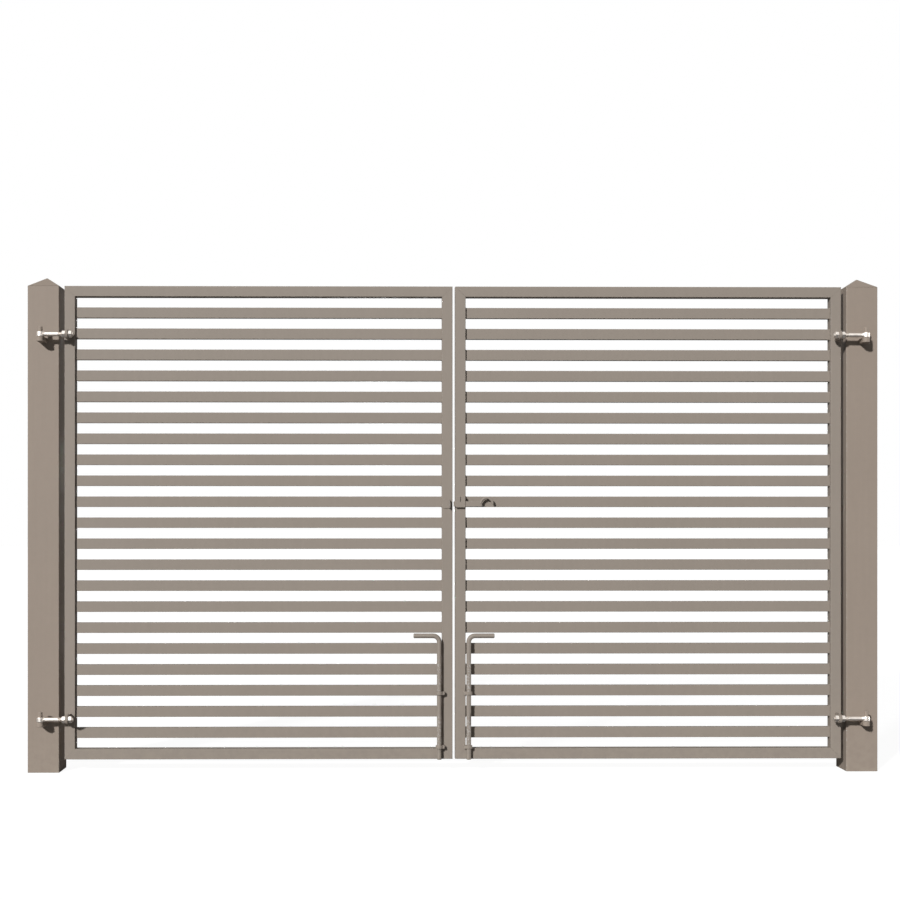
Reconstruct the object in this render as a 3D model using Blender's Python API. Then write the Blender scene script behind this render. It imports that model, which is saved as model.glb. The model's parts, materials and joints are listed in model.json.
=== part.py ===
"""Double-leaf driveway gate: two posts, two framed leaves of horizontal slats, hung on pin-and-eye hinges.

World frame in metres: X to the right, +Y away from the garden side, +Z up. The origin lies on the ground,
midway between the posts and midway in depth between the front of the hinge lugs and the backs of the posts.
The leaves swing towards -Y, the side that carries the hinges, the drop bolts and the latch.
"""
import math

import bmesh
import bpy
from mathutils import Matrix, Vector

# Clearance between two pieces that touch.
GAP = 0.0003

# Posts.
OPENING = 3.0
POST_SIZE = 0.12
POST_WALL = 0.003
POST_HEIGHT = 1.85
CAP_RISE = 0.04
CAP_PLUG_DEPTH = 0.02
CAP_SHELL = 0.006
POST_X = OPENING / 2 + POST_SIZE / 2

# Leaves.
TUBE = 0.04
TUBE_WALL = 0.002
SIDE_GAP = 0.02
CENTRE_GAP = 0.01
GROUND_GAP = 0.05
LEAF_INNER_X = CENTRE_GAP / 2
LEAF_OUTER_X = OPENING / 2 - SIDE_GAP
LEAF_CENTRE_X = (LEAF_INNER_X + LEAF_OUTER_X) / 2
LEAF_WIDTH = LEAF_OUTER_X - LEAF_INNER_X
LEAF_HEIGHT = POST_HEIGHT - GROUND_GAP
WEEP_HOLE_RADIUS = 0.004
WEEP_HOLE_INSET = 0.12

# Slats: as high as the gaps between them.
SLAT_COUNT = 21
SLAT_DEPTH = 0.02
SLAT_WALL = 0.0015
SLAT_PITCH = (LEAF_HEIGHT - TUBE) / (SLAT_COUNT + 1)
SLAT_HEIGHT = SLAT_PITCH / 2

# Hinges: a pin on a bracket on the post carries an M16 eye bolt that is clamped in a lug on the leaf.
BOLT_RADIUS = 0.008
BOLT_CLEARANCE = 0.0003
NUT_RADIUS = 0.024 / math.sqrt(3)
NUT_HEIGHT = 0.013
HINGE_REACH = 0.045
HINGE_HEIGHTS = {"upper": 1.66, "lower": 0.208}
EYE_RADIUS = 0.0135
EYE_HEIGHT = 0.018
PIN_ABOVE_EYE = 0.02
BRACKET_RADIUS = 0.0135
BRACKET_HEIGHT = 0.018
LUG_THICKNESS = 0.01
LUG_RADIUS = 0.017
EYE_SHANK_END_X = 1.436

# Drop bolts: round bar with a bent handle, in two guides beside each meeting stile.
DROP_RADIUS = 0.009
DROP_X = 0.056
DROP_REACH = 0.013
DROP_BOTTOM = 0.05
DROP_HANDLE_Z = 0.52
DROP_HANDLE_END_X = 0.154
DROP_BEND = 0.024
GUIDE_HEIGHTS = (0.302, 0.098)
GUIDE_RADIUS = 0.0135
GUIDE_THICKNESS = 0.012
GUIDE_ARM_DEPTH = 0.019
GUIDE_ARM_X = 0.036

# Latch: a flat bar that slides in a low housing on the right leaf, and an angle keeper on the left leaf.
LATCH_Z = 1.0215
LATCH_REACH = 0.0073
LATCH_THICKNESS = 0.006
LATCH_HEIGHT = 0.02
LATCH_TIP_X = -0.0015
LATCH_END_X = 0.107
LATCH_GRIP_RADIUS = 0.0045
LATCH_GRIP_CHAMFER = 0.001
LATCH_GRIP_BOW = 0.0225
HOUSING_WIDTH = 0.036
HOUSING_LOW = 1.008
HOUSING_HIGH = 1.05
HOUSING_REACH = 0.0135
KEEPER_NEAR_X = -0.016
KEEPER_FAR_X = -0.041
KEEPER_HEIGHT = 0.0326
KEEPER_WALL = 0.003
KEEPER_REACH = 0.03
KEEPER_CLEARANCE = 0.0008

# The origin is midway between the front of the hinge lugs and the backs of the posts.
FRONT_Y = (HINGE_REACH + LUG_RADIUS - POST_SIZE) / 2
HINGE_Y = FRONT_Y - HINGE_REACH

# How far a welded fitting reaches into the tube that carries it.
WELD_DEPTH = 0.001

# Round shapes.
ROUND = 16
SMALL_ROUND = 12
BEND_STEPS = 6
BAR_CHAMFER = 0.0015
SMOOTH_ANGLE = math.radians(35)
AXIS_TURNS = {
    "X": Matrix.Rotation(math.pi / 2, 4, "Y"),
    "Y": Matrix.Rotation(-math.pi / 2, 4, "X"),
    "Z": Matrix.Identity(4),
}


def clear_scene():
    for old in list(bpy.data.objects):
        bpy.data.objects.remove(old, do_unlink=True)


def make_material(name, colour, roughness, metallic):
    material = bpy.data.materials.new(name)
    material.use_nodes = True
    shader = material.node_tree.nodes["Principled BSDF"]
    shader.inputs["Base Color"].default_value = (*colour, 1.0)
    shader.inputs["Roughness"].default_value = roughness
    shader.inputs["Metallic"].default_value = metallic
    return material


# Shapes. Each function returns a temporary object whose mesh is in world coordinates.


def loft(rings, closed=False):
    """Skin a row of rings; a ring of one point is a tip. An open row gets flat caps."""
    bm = bmesh.new()
    loops = [[bm.verts.new(point) for point in ring] for ring in rings]
    pairs = list(zip(loops, loops[1:]))
    if closed:
        pairs.append((loops[-1], loops[0]))
    for first, second in pairs:
        count = max(len(first), len(second))
        for i in range(count):
            j = (i + 1) % count
            corners = [first[i % len(first)], first[j % len(first)]]
            corners += [second[j % len(second)], second[i % len(second)]]
            bm.faces.new(list(dict.fromkeys(corners)))
    if not closed:
        for end in (loops[0], loops[-1]):
            if len(end) > 2:
                bm.faces.new(end)
    bmesh.ops.recalc_face_normals(bm, faces=bm.faces)
    mesh = bpy.data.meshes.new("shape")
    bm.to_mesh(mesh)
    bm.free()
    shape = bpy.data.objects.new("shape", mesh)
    bpy.context.scene.collection.objects.link(shape)
    return shape


def turned(profile, centre, axis="Z", sides=ROUND, closed=False, phase=0.0):
    """Turn a profile of (radius, height) points about an axis; four sides give a square section."""
    placement = Matrix.Translation(centre) @ AXIS_TURNS[axis]
    rings = []
    for radius, height in profile:
        angles = [phase + 2 * math.pi * i / sides for i in range(sides if radius > 0 else 1)]
        ring = [Vector((radius * math.cos(a), radius * math.sin(a), height)) for a in angles]
        rings.append([placement @ point for point in ring])
    return loft(rings, closed)


def cylinder(radius, low, high, centre, axis="Z", sides=ROUND, phase=0.0):
    return turned([(radius, low), (radius, high)], centre, axis, sides, phase=phase)


def box(low, high):
    rings = []
    for z in (low[2], high[2]):
        front = [(low[0], low[1], z), (high[0], low[1], z)]
        back = [(high[0], high[1], z), (low[0], high[1], z)]
        rings.append(front + back)
    return loft(rings)


def rectangle(centre, along, first, second):
    """Corners of a rectangle with half sizes first and second, square to the axis named along."""
    corners = []
    for u, v in ((-first, -second), (first, -second), (first, second), (-first, second)):
        offset = Vector((0, u, v)) if along == "X" else Vector((u, 0, v))
        corners.append(Vector(centre) + offset)
    return corners


def rectangular_tube(centre, along, length, outer, inner):
    """A straight tube with rectangular outer and inner sections, given as half sizes."""
    half = Vector((length / 2, 0, 0)) if along == "X" else Vector((0, length / 2, 0))
    low = Vector(centre) - half
    high = Vector(centre) + half
    rings = [rectangle(low, along, *outer), rectangle(high, along, *outer),
             rectangle(high, along, *inner), rectangle(low, along, *inner)]
    return loft(rings, closed=True)


def bend(start, corner, end, radius):
    """Points from start to end, with the corner between the two legs rounded."""
    start, corner, end = Vector(start), Vector(corner), Vector(end)
    back = (start - corner).normalized()
    onward = (end - corner).normalized()
    centre = corner + (back + onward) * radius
    path = [start]
    for i in range(BEND_STEPS + 1):
        angle = math.pi / 2 * i / BEND_STEPS
        path.append(centre - onward * radius * math.cos(angle) - back * radius * math.sin(angle))
    path.append(end)
    return path


def bar(path, radius, normal, sides=ROUND, chamfer=BAR_CHAMFER):
    """A round bar along a path that lies in the plane with the given normal, with chamfered ends."""
    normal = Vector(normal)
    path = [Vector(point) for point in path]
    rings = []
    for i, point in enumerate(path):
        ahead = (path[min(i + 1, len(path) - 1)] - point).normalized()
        behind = (point - path[max(i - 1, 0)]).normalized()
        tangent = (ahead + behind).normalized()
        side = tangent.cross(normal)
        sections = [(0.0, radius)]
        if i == 0:
            sections = [(0.0, radius - chamfer), (chamfer, radius)]
        if i == len(path) - 1:
            sections = [(-chamfer, radius), (0.0, radius - chamfer)]
        for shift, reach in sections:
            ring = []
            for k in range(sides):
                angle = 2 * math.pi * k / sides
                outward = side * math.cos(angle) + normal * math.sin(angle)
                ring.append(point + tangent * shift + outward * reach)
            rings.append(ring)
    return loft(rings)


def combine(base, other, operation):
    modifier = base.modifiers.new("combine", "BOOLEAN")
    modifier.operation = operation
    modifier.solver = "EXACT"
    modifier.object = other
    with bpy.context.temp_override(object=base, active_object=base, selected_objects=[base]):
        bpy.ops.object.modifier_apply(modifier=modifier.name)
    bpy.data.objects.remove(other, do_unlink=True)
    return base


def joined(base, *others):
    for other in others:
        combine(base, other, "UNION")
    return base


def cut(base, *others):
    for other in others:
        combine(base, other, "DIFFERENCE")
    return base


def place(shape, name, material, origin, parent=None, smooth=False):
    """Name a finished shape, move its origin to the given point and hang it on its parent."""
    origin = Vector(origin)
    mesh = shape.data
    mesh.transform(Matrix.Translation(-origin))
    if smooth:
        mesh.shade_smooth()
        mesh.set_sharp_from_angle(angle=SMOOTH_ANGLE)
    shape.name = name
    mesh.name = name
    mesh.materials.clear()
    mesh.materials.append(material)
    shape.parent = parent
    shape.location = origin - (parent.location if parent else Vector())
    return shape


# Posts.


def square_profile(points):
    """Turn half widths of a square into the corner radii that a four-sided turning needs."""
    return [(half * math.sqrt(2), height) for half, height in points]


def build_post(side, name, paint):
    """A square tube standing on the ground."""
    outer = POST_SIZE / 2
    inner = outer - POST_WALL
    centre = (side * POST_X, FRONT_Y + outer, 0.0)
    top = POST_HEIGHT - GAP
    section = square_profile([(outer, 0.0), (outer, top), (inner, top), (inner, 0.0)])
    post = turned(section, centre, sides=4, closed=True, phase=math.pi / 4)
    return place(post, name, paint, centre)


def build_cap(side, name, paint):
    """A hollow pyramid whose plug fits inside the post."""
    outer = POST_SIZE / 2
    plug = outer - POST_WALL - GAP
    inner = plug - POST_WALL
    section = square_profile([
        (0.0, CAP_RISE),
        (outer, 0.0),
        (plug, 0.0),
        (plug, -CAP_PLUG_DEPTH),
        (inner, -CAP_PLUG_DEPTH),
        (inner, 0.0),
        (0.0, CAP_RISE - CAP_SHELL),
    ])
    centre = (side * POST_X, FRONT_Y + outer, POST_HEIGHT)
    cap = turned(section, centre, sides=4, phase=math.pi / 4)
    return place(cap, name, paint, centre)


# Hinges.


def build_pin(side, eye_height, name, paint):
    """A thick bracket with a round nose that stands out from the post, and the hinge pin on it."""
    x = side * POST_X
    seat = eye_height - EYE_HEIGHT / 2 - GAP
    low = seat - BRACKET_HEIGHT
    pin_top = eye_height + EYE_HEIGHT / 2 + PIN_ABOVE_EYE
    bracket = box((x - BRACKET_RADIUS, HINGE_Y, low), (x + BRACKET_RADIUS, FRONT_Y - GAP, seat))
    nose = cylinder(BRACKET_RADIUS, low, seat, (x, HINGE_Y, 0.0))
    pin = bar([(x, HINGE_Y, (low + seat) / 2), (x, HINGE_Y, pin_top)], BOLT_RADIUS, (1, 0, 0))
    joined(bracket, nose, pin)
    return place(bracket, name, paint, (x, HINGE_Y, low), smooth=True)


def build_eye(side, eye_height, name, zinc, hinge):
    """An eye bolt: a ring round the hinge pin, a shank through the leaf's lug and a nut on each side."""
    axis_point = Vector((side * POST_X, HINGE_Y, eye_height))
    shank_end = side * EYE_SHANK_END_X
    neck = axis_point + Vector((-side * (BOLT_RADIUS + EYE_RADIUS) / 2, 0, 0))
    eye = bar([neck, (shank_end, HINGE_Y, eye_height)], BOLT_RADIUS, (0, 0, 1))
    joined(eye, cylinder(EYE_RADIUS, -EYE_HEIGHT / 2, EYE_HEIGHT / 2, axis_point))
    lug_point = (side * (LEAF_OUTER_X - TUBE / 2), HINGE_Y, eye_height)
    nut_face = LUG_THICKNESS / 2 + GAP
    for outward in (-1, 1):
        span = sorted((outward * nut_face, outward * (nut_face + NUT_HEIGHT)))
        joined(eye, cylinder(NUT_RADIUS, *span, lug_point, "X", 6))
    cut(eye, cylinder(BOLT_RADIUS + BOLT_CLEARANCE, -EYE_HEIGHT, EYE_HEIGHT, axis_point))
    return place(eye, name, zinc, axis_point, hinge, smooth=True)


def hinge_lug(side, eye_height):
    """A plate with a round end, standing forward from the middle of the outer stile."""
    lug_x = side * (LEAF_OUTER_X - TUBE / 2)
    half = LUG_THICKNESS / 2
    plate = box((lug_x - half, HINGE_Y, eye_height - LUG_RADIUS),
                (lug_x + half, FRONT_Y + WELD_DEPTH, eye_height + LUG_RADIUS))
    nose = cylinder(LUG_RADIUS, -half, half, (lug_x, HINGE_Y, eye_height), "X")
    return joined(plate, nose)


# Leaves.


def build_frame(side, name, paint, hinge):
    """Four square tubes welded into a hollow rectangle, with the fittings that are welded to it."""
    centre = (side * LEAF_CENTRE_X, FRONT_Y + TUBE / 2, GROUND_GAP + LEAF_HEIGHT / 2)
    outer = (LEAF_WIDTH / 2, LEAF_HEIGHT / 2)
    inner = (outer[0] - TUBE, outer[1] - TUBE)
    frame = rectangular_tube(centre, "Y", TUBE, outer, inner)
    hollow_outer = (outer[0] - TUBE_WALL, outer[1] - TUBE_WALL)
    hollow_inner = (inner[0] + TUBE_WALL, inner[1] + TUBE_WALL)
    cut(frame, rectangular_tube(centre, "Y", TUBE - 2 * TUBE_WALL, hollow_outer, hollow_inner))
    for x in (LEAF_INNER_X + WEEP_HOLE_INSET, LEAF_OUTER_X - WEEP_HOLE_INSET):
        weep_point = (side * x, centre[1], GROUND_GAP)
        cut(frame, cylinder(WEEP_HOLE_RADIUS, -TUBE_WALL, 2 * TUBE_WALL, weep_point, sides=SMALL_ROUND))
    for eye_height in HINGE_HEIGHTS.values():
        joined(frame, hinge_lug(side, eye_height))
        bore = (side * LEAF_OUTER_X, HINGE_Y, eye_height)
        cut(frame, cylinder(BOLT_RADIUS + BOLT_CLEARANCE, -TUBE, TUBE, bore, "X"))
    for height in GUIDE_HEIGHTS:
        joined(frame, drop_bolt_guide(side, height))
    if side > 0:
        joined(frame, latch_housing())
    return place(frame, name, paint, hinge.location, hinge)


def build_slat_mesh():
    """One slat, shared by all: a rectangular tube with open ends."""
    length = LEAF_WIDTH - 2 * TUBE - 2 * GAP
    outer = (SLAT_DEPTH / 2, SLAT_HEIGHT / 2)
    inner = (outer[0] - SLAT_WALL, outer[1] - SLAT_WALL)
    return rectangular_tube((0, 0, 0), "X", length, outer, inner)


def build_slats(side, prefix, slat_mesh, paint, hinge):
    """Slats between the stiles, centred in the depth of the frame, counted from the bottom."""
    first = GROUND_GAP + TUBE / 2 + SLAT_PITCH
    for i in range(SLAT_COUNT):
        slat = bpy.data.objects.new("slat", slat_mesh)
        bpy.context.scene.collection.objects.link(slat)
        slat.name = f"{prefix}_slat_{i + 1:02d}"
        slat.parent = hinge
        world = Vector((side * LEAF_CENTRE_X, FRONT_Y + TUBE / 2, first + i * SLAT_PITCH))
        slat.location = world - hinge.location


# Drop bolts.


def drop_bolt_guide(side, height):
    """A thick eye that carries a drop bolt, on a short arm welded to the front of the meeting stile."""
    x = side * DROP_X
    y = FRONT_Y - DROP_REACH
    low_x, high_x = sorted((side * GUIDE_ARM_X, x))
    half = GUIDE_THICKNESS / 2
    arm = box((low_x, FRONT_Y - GUIDE_ARM_DEPTH, height - half),
              (high_x, FRONT_Y + WELD_DEPTH, height + half))
    eye = cylinder(GUIDE_RADIUS, -half, half, (x, y, height))
    bore = cylinder(DROP_RADIUS + BOLT_CLEARANCE, -2 * half, 2 * half, (x, y, height))
    return cut(joined(arm, eye), bore)


def build_drop_bolt(side, name, paint, hinge):
    """Round bar, bent over at the top into a handle that points away from the meeting stile."""
    x = side * DROP_X
    y = FRONT_Y - DROP_REACH
    end = (side * DROP_HANDLE_END_X, y, DROP_HANDLE_Z)
    path = bend((x, y, DROP_BOTTOM), (x, y, DROP_HANDLE_Z), end, DROP_BEND)
    bolt = bar(path, DROP_RADIUS, (0, 1, 0))
    return place(bolt, name, paint, (x, y, DROP_BOTTOM), hinge, smooth=True)


# Latch.


def latch_section(low_x, high_x, clearance=0.0):
    """A length of the flat latch bar, or of the slot for it when there is a clearance."""
    y = FRONT_Y - LATCH_REACH
    half_depth = LATCH_THICKNESS / 2 + clearance
    half_height = LATCH_HEIGHT / 2 + clearance
    return box((low_x, y - half_depth, LATCH_Z - half_height),
               (high_x, y + half_depth, LATCH_Z + half_height))


def latch_housing():
    """A low block on the right meeting stile with a slot through it for the latch bar."""
    x = LEAF_INNER_X + TUBE / 2
    housing = box((x - HOUSING_WIDTH / 2, FRONT_Y - HOUSING_REACH, HOUSING_LOW),
                  (x + HOUSING_WIDTH / 2, FRONT_Y + WELD_DEPTH, HOUSING_HIGH))
    return cut(housing, latch_section(x - TUBE, x + TUBE, GAP))


def build_latch_bolt(paint, hinge):
    """The flat sliding bar, with a bowed grip of round bar at its outer end."""
    y = FRONT_Y - LATCH_REACH
    latch = latch_section(LATCH_TIP_X, LATCH_END_X)
    bow_x = LATCH_END_X - LATCH_GRIP_RADIUS + LATCH_GRIP_BOW
    bow_steps = 2 * BEND_STEPS
    path = []
    for i in range(bow_steps + 1):
        angle = math.pi * (1 - i / bow_steps)
        x = bow_x + LATCH_GRIP_BOW * math.cos(angle)
        path.append((x, y, LATCH_Z + LATCH_GRIP_BOW * math.sin(angle)))
    joined(latch, bar(path, LATCH_GRIP_RADIUS, (0, 1, 0), SMALL_ROUND, LATCH_GRIP_CHAMFER))
    return place(latch, "latch_bolt", paint, (LATCH_TIP_X, y, LATCH_Z), hinge, smooth=True)


def build_latch_keeper(paint, hinge):
    """An angle on the left meeting stile, with a slot in its forward leg for the nose of the latch bar."""
    low_z = LATCH_Z - KEEPER_HEIGHT / 2
    high_z = LATCH_Z + KEEPER_HEIGHT / 2
    back_y = FRONT_Y - GAP
    base = box((KEEPER_FAR_X, back_y - KEEPER_WALL, low_z), (KEEPER_NEAR_X, back_y, high_z))
    inner_x = KEEPER_NEAR_X - KEEPER_WALL
    leg = box((inner_x, FRONT_Y - KEEPER_REACH, low_z), (KEEPER_NEAR_X, back_y, high_z))
    keeper = joined(base, leg)
    cut(keeper, latch_section(inner_x - KEEPER_WALL, KEEPER_NEAR_X + KEEPER_WALL, KEEPER_CLEARANCE))
    return place(keeper, "latch_keeper", paint, (KEEPER_NEAR_X, FRONT_Y, LATCH_Z), hinge)


def make_hinge_axis(side, name):
    """An empty on the vertical axis that a leaf turns about."""
    axis = bpy.data.objects.new(name, None)
    bpy.context.scene.collection.objects.link(axis)
    axis.location = (side * POST_X, HINGE_Y, 0.0)
    return axis


def build_gate():
    clear_scene()
    post_paint = make_material("post_paint", (0.29, 0.25, 0.215), 0.5, 0.0)
    leaf_paint = make_material("leaf_paint", (0.27, 0.24, 0.21), 0.5, 0.0)
    bolt_paint = make_material("bolt_paint", (0.26, 0.23, 0.2), 0.45, 0.0)
    zinc = make_material("zinc", (0.7, 0.7, 0.7), 0.35, 1.0)
    slat_shape = build_slat_mesh()
    slat_mesh = slat_shape.data
    slat_mesh.name = "slat"
    slat_mesh.materials.append(leaf_paint)
    bpy.data.objects.remove(slat_shape, do_unlink=True)
    for side, prefix in ((-1, "left"), (1, "right")):
        hinge = make_hinge_axis(side, f"{prefix}_hinge_axis")
        build_post(side, f"{prefix}_post", post_paint)
        build_cap(side, f"{prefix}_post_cap", post_paint)
        build_frame(side, f"{prefix}_leaf_frame", leaf_paint, hinge)
        build_slats(side, prefix, slat_mesh, leaf_paint, hinge)
        for level, eye_height in HINGE_HEIGHTS.items():
            build_pin(side, eye_height, f"{prefix}_{level}_hinge_pin", post_paint)
            build_eye(side, eye_height, f"{prefix}_{level}_hinge_eye", zinc, hinge)
        build_drop_bolt(side, f"{prefix}_drop_bolt", bolt_paint, hinge)
        if side < 0:
            build_latch_keeper(bolt_paint, hinge)
        else:
            build_latch_bolt(bolt_paint, hinge)


build_gate()
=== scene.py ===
"""Looks of the double-leaf driveway gate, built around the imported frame.

World frame in metres: +X to the right, +Y away from the garden side, +Z up. Each visible piece is built in
world coordinates at rest, stands for the CAD node it replaces and rides on that node's body.
"""
import json
import math

import bmesh
import bpy
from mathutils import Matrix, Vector


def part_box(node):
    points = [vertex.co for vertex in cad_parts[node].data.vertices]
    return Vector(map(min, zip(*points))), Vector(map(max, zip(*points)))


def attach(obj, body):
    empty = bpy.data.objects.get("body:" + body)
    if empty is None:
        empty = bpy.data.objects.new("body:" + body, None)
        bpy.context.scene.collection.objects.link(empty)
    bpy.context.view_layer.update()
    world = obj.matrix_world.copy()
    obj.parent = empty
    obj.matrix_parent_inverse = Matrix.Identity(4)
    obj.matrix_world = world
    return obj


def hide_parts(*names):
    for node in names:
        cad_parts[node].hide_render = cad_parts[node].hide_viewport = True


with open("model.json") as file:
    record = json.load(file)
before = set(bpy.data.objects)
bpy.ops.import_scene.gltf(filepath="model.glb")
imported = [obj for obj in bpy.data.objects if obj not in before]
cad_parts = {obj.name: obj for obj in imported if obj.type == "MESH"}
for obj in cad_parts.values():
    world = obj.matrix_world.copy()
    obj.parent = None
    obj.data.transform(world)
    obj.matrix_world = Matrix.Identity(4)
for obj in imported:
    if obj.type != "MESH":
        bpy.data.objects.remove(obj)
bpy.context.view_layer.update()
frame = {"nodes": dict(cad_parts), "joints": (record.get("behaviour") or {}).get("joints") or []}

X_AXIS = Vector((1, 0, 0))
Y_AXIS = Vector((0, 1, 0))
Z_AXIS = Vector((0, 0, 1))

# Names in the frame, and places and sizes that it gives.
SIDES = {"left": -1, "right": 1}
LEVELS = ("upper", "lower")
FRONT_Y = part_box("left_post")[0].y
LEAF_BACK_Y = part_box("left_leaf_frame")[1].y
TUBE = LEAF_BACK_Y - FRONT_Y
TUBE_Y = (FRONT_Y + LEAF_BACK_Y) / 2
SLAT_COUNT = sum(node.startswith("left_slat_") for node in frame["nodes"])
LEAF_HINGES = [joint for joint in frame["joints"] if joint["type"] == "hinge"]
HINGE_AXES = {joint["child"]: Vector(joint["pos_m"]) for joint in LEAF_HINGES}
HINGE_REACH = FRONT_Y - HINGE_AXES["left_leaf"].y

# Clearance between CAD pieces that touch.
GAP = 0.0003

# Square and rectangular tube.
POST_CORNER = 0.0035
POST_WALL = 0.003
CAP_EDGE = 0.0003
CAP_SHELL = 0.006
CAP_SNUB = 0.004
FRAME_CORNER = 0.002
SLAT_CORNER = 0.0015
SEAM = 0.0003
# Wear value at the ends of tubes and bars: painted shade with grime at the seams.
SEAM_GRIME_AND_SHADE = -0.35
BEAD = 0.0022
BEAD_RIPPLE = 0.0025
WEEP_HOLE_RADIUS = 0.004
WEEP_HOLE_INSET = 0.12

# Hinges with M16 eye bolts.
BOLT_RADIUS = 0.008
BORE_RADIUS = 0.0083
THREAD_PITCH = 0.002
THREAD_DEPTH = 0.0011
THREAD_LENGTH = 0.058
NUT_FLAT = 0.012
NUT_FACE = 0.96
NUT_HEIGHT = 0.013
NUT_CHAMFER = 0.0013
NUT_RECESS = 0.0012
EYE_RADIUS = 0.0135
EYE_HEIGHT = 0.018
EYE_EDGE = 0.001
FLARE = 0.0022
FLARE_LENGTH = 0.01
SHANK_INSET = 0.002
SHANK_CHAMFER = 0.0012
BRACKET_HEIGHT = 0.018
BRACKET_EDGE = 0.0012
LUG_RADIUS = 0.017
LUG_THICKNESS = 0.01

# Drop bolts and their guides.
DROP_BEND = 0.024
GUIDE_HEIGHTS = {"upper": 0.302, "lower": 0.098}
GUIDE_RADIUS = 0.0135
GUIDE_THICKNESS = 0.012
GUIDE_ARM_FRONT = 0.006
GUIDE_ARM_REACH = 0.02
DROP_TRAVEL = 0.12

# Latch.
HOUSING_WIDTH = 0.036
HOUSING_LOW = 1.008
HOUSING_HIGH = 1.05
HOUSING_REACH = 0.0135
HOUSING_SLIT = 0.0022
SLIT_DEPTH = 0.7 * HOUSING_REACH
BAR_HEIGHT = 0.02
BAR_THICKNESS = 0.006
GRIP_RADIUS = 0.0045
GRIP_BOW = 0.0225
KEEPER_WALL = 0.003
KEEPER_CLEARANCE = 0.0008
LATCH_CORNER = 0.0008

# Rounded edges at the ends of the round bars.
PIN_EDGE = 0.002
DROP_EDGE = 0.003
LATCH_EDGE = 0.0015

# Mesh fineness.
ROUND = 32
NUT_SIDES = 72
EYE_SIDES = 48
LUG_SIDES = 64
GUIDE_SIDES = 72
GRIP_SIDES = 20
EDGE_STEPS = 5
BAR_STEP = 0.004
SHANK_STEP = 0.006
GRIP_STEP = 0.0025
SMOOTH_ANGLE = math.radians(35)

# Studio. The floor has one tone for the camera, one for bounced light and one for reflections.
FLOOR_REACH = 60.0
FLOOR_GLOW = 0.94
FLOOR_TONE = 0.16
BOUNCE_TONE = 0.3
MIRRORED_TONE = 0.08
AMBIENT = 0.15
MIRRORED = 0.75

# Camera. The lens and the sensor are in millimetres, the shift in sensor widths, the turn in degrees.
SENSOR_WIDTH = 36.0
LENS = 54.52
LENS_SHIFT = (0.0576, 0.0866)
CAMERA_X = -0.262
CAMERA_DISTANCE = 5.19
CAMERA_HEIGHT = 0.93
CAMERA_TURN = -0.55

# Small turns that keep the rays of a bored plate off its square corners.
LUG_OFFSET = 0.01
GUIDE_OFFSET = 0.004

# Keeps a division by the sine of an angle from failing at zero.
TINY = 1e-6


# Mesh building.


class Shape:
    """A mesh under construction. Each vertex carries a wear value: 1 is rubbed bright, -1 holds painted
    shade and grime.
    """

    def __init__(self):
        self.bm = bmesh.new()
        self.wear_and_shade = self.bm.verts.layers.float.new("wear_and_shade")

    def ring(self, points):
        loop = []
        for point, wear_and_shade in points:
            vertex = self.bm.verts.new(point)
            vertex[self.wear_and_shade] = wear_and_shade
            loop.append(vertex)
        return loop

    def loft(self, rings, closed=False):
        """Skin a row of rings; a ring of one point is a tip. An open row gets flat caps."""
        loops = [self.ring(points) for points in rings]
        pairs = list(zip(loops, loops[1:]))
        if closed:
            pairs.append((loops[-1], loops[0]))
        for first, second in pairs:
            count = max(len(first), len(second))
            for i in range(count):
                j = (i + 1) % count
                corners = [first[i % len(first)], first[j % len(first)],
                           second[j % len(second)], second[i % len(second)]]
                self.bm.faces.new(list(dict.fromkeys(corners)))
        if not closed:
            for end in (loops[0], loops[-1]):
                if len(end) > 2:
                    self.bm.faces.new(end)

    def to_object(self, name):
        bmesh.ops.recalc_face_normals(self.bm, faces=self.bm.faces)
        mesh = bpy.data.meshes.new(name)
        self.bm.to_mesh(mesh)
        self.bm.free()
        piece = bpy.data.objects.new(name, mesh)
        bpy.context.scene.collection.objects.link(piece)
        return piece

    def carve(self, cutter):
        """Cut another closed shape out of this one."""
        base = self.to_object("base")
        tool = cutter.to_object("tool")
        modifier = base.modifiers.new("carve", "BOOLEAN")
        modifier.operation = "DIFFERENCE"
        modifier.solver = "EXACT"
        modifier.object = tool
        depsgraph = bpy.context.evaluated_depsgraph_get()
        mesh = bpy.data.meshes.new_from_object(base.evaluated_get(depsgraph))
        self.bm = bmesh.new()
        self.bm.from_mesh(mesh)
        self.wear_and_shade = self.bm.verts.layers.float["wear_and_shade"]
        for temporary in (base, tool):
            bpy.data.meshes.remove(temporary.data)
        bpy.data.meshes.remove(mesh)


def finish_piece(shape, name, material, body, *nodes):
    """Turn a shape into a named piece that rides on a body and stands for the given CAD nodes."""
    piece = shape.to_object(name)
    piece.data.shade_smooth()
    piece.data.set_sharp_from_angle(angle=SMOOTH_ANGLE)
    piece.data.materials.append(material)
    flat_faces = piece.modifiers.new("flat_faces", "WEIGHTED_NORMAL")
    flat_faces.keep_sharp = True
    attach(piece, body)
    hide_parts(*nodes)
    return piece


def rounded_rectangle(half_u, half_v, radius, steps=4):
    """Outline as (u, v, wear) with rounded corners, which carry the wear."""
    outline = []
    for quarter in range(4):
        centre_u = (half_u - radius) * (1 if quarter in (0, 3) else -1)
        centre_v = (half_v - radius) * (1 if quarter < 2 else -1)
        for i in range(steps + 1):
            angle = math.pi / 2 * (quarter + i / steps)
            u = centre_u + radius * math.cos(angle)
            v = centre_v + radius * math.sin(angle)
            outline.append((u, v, math.sin(math.pi * i / steps)))
    return outline


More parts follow.
